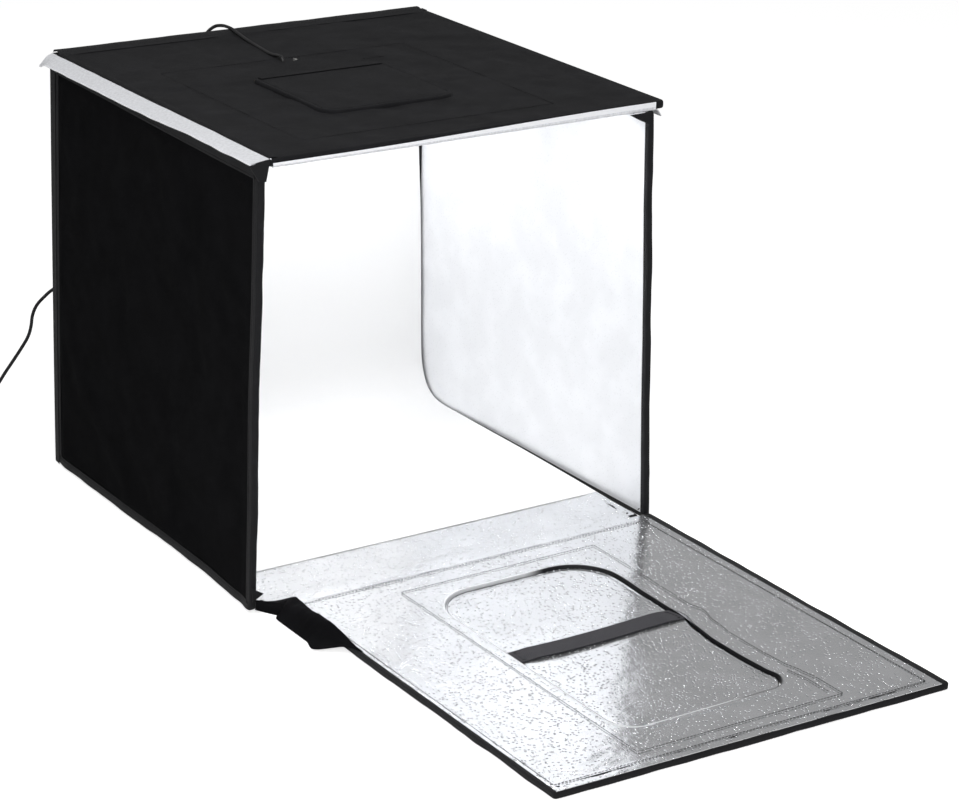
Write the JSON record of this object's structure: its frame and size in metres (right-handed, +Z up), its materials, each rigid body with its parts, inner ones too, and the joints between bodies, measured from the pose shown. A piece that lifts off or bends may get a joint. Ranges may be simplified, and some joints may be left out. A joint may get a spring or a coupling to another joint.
{
  "type": "light tent cube",
  "caption": "Folding photo light tent: a cube of fabric-covered boards with silver lining, a door laid open in front, window flaps, light bars and a power lead.",
  "frame": {"origin": "middle of the cube's underside, on the surface it stands on", "axes": "+X to the right seen from the open front, +Y to the back, +Z up; the open door lies towards -Y"},
  "size_m": [0.7361, 1.106, 0.5083],
  "materials": {
    "black_cloth": "matt woven cloth",
    "lid_cloth": "matt woven cloth",
    "black_binding": "folded binding tape",
    "strap_webbing": "woven webbing",
    "fibre_board": "pressed fibre board",
    "silver_lining": "embossed silver film on cloth",
    "backdrop_white": "smooth white sheet",
    "hook_tape": "hook-and-loop tape",
    "bar_aluminium": "extruded",
    "light_strip": "white circuit strip",
    "nickel_eyelet": "plated",
    "lead_rubber": "smooth sheath",
    "adapter_plastic": "fine grained",
    "pin_brass": "bright"
  },
  "bodies": {
    "root": {"bottom_cover": "black_cloth", "bottom_board": "fibre_board", "bottom_lining": "silver_lining", "bottom_binding": "black_binding", "back_cover": "black_cloth", "back_board": "fibre_board", "back_lining": "silver_lining", "back_binding": "black_binding", "backdrop_hook_strip": "hook_tape", "lid_hinge_strip": "black_binding", "left_wall_hinge_strip": "black_binding", "right_wall_hinge_strip": "black_binding", "door_hinge_strip": "silver_lining", "backdrop_sheet": "backdrop_white", "power_lead_drop": "lead_rubber", "power_lead_coil": "lead_rubber", "adapter_body": "adapter_plastic", "adapter_pin_near": "pin_brass", "adapter_pin_far": "pin_brass"},
    "door": {"door_cover": "black_cloth", "door_board": "fibre_board", "door_lining": "silver_lining", "door_binding": "black_binding", "door_window_facing": "black_binding", "door_gusset": "black_cloth", "door_flap_hinge_strip": "silver_lining"},
    "door_flap": {"door_flap_cover": "black_cloth", "door_flap_board": "fibre_board", "door_flap_lining": "silver_lining", "door_flap_strap": "strap_webbing"},
    "lid": {"lid_cover": "lid_cloth", "lid_board": "fibre_board", "lid_lining": "silver_lining", "lid_binding": "black_binding", "lid_window_facing": "black_binding", "lid_left_tape": "hook_tape", "lid_right_tape": "hook_tape", "lid_front_tape": "hook_tape", "light_bar_front_pad": "hook_tape", "light_bar_rear_pad": "hook_tape", "light_bar_front_channel": "bar_aluminium", "light_bar_rear_channel": "bar_aluminium", "light_bar_front_strip": "light_strip", "light_bar_rear_strip": "light_strip", "light_bar_link_lead": "lead_rubber", "lid_lead_eyelet": "nickel_eyelet", "lid_spare_eyelet": "nickel_eyelet", "power_lead_on_lid": "lead_rubber", "lid_flap_hinge_strip": "lid_cloth"},
    "lid_flap": {"lid_flap_cover": "lid_cloth", "lid_flap_board": "fibre_board", "lid_flap_lining": "silver_lining"},
    "left_wall": {"left_wall_cover": "black_cloth", "left_wall_board": "fibre_board", "left_wall_lining": "silver_lining", "left_wall_binding": "black_binding"},
    "right_wall": {"right_wall_cover": "black_cloth", "right_wall_board": "fibre_board", "right_wall_lining": "silver_lining", "right_wall_binding": "black_binding"}
  },
  "joints": [
    {"name": "door_hinge", "type": "hinge", "parent": "root", "child": "door", "pos_m": [0, -0.25, 0.0082], "axis": [-1, 0, 0], "range_deg": [0, 90], "deforming": ["door_hinge_strip", "door_gusset"]},
    {"name": "door_flap_hinge", "type": "hinge", "parent": "door", "child": "door_flap", "pos_m": [0.0115, -0.682, 0.0046], "axis": [1, 0, 0], "range_deg": [0, 90], "deforming": ["door_flap_hinge_strip"]},
    {"name": "lid_hinge", "type": "hinge", "parent": "root", "child": "lid", "pos_m": [0, 0.25, 0.5], "axis": [-1, 0, 0], "range_deg": [0, 110], "deforming": ["lid_hinge_strip", "power_lead_drop"]},
    {"name": "lid_flap_hinge", "type": "hinge", "parent": "lid", "child": "lid_flap", "pos_m": [-0.0285, 0.027, 0.5045], "axis": [-1, 0, 0], "range_deg": [0, 150], "deforming": ["lid_flap_hinge_strip"]},
    {"name": "left_wall_hinge", "type": "hinge", "parent": "root", "child": "left_wall", "pos_m": [-0.25, 0.25, 0.25], "axis": [0, 0, -1], "range_deg": [0, 90], "deforming": ["left_wall_hinge_strip"]},
    {"name": "right_wall_hinge", "type": "hinge", "parent": "root", "child": "right_wall", "pos_m": [0.25, 0.25, 0.25], "axis": [0, 0, 1], "range_deg": [0, 90], "deforming": ["right_wall_hinge_strip"]}
  ]
}
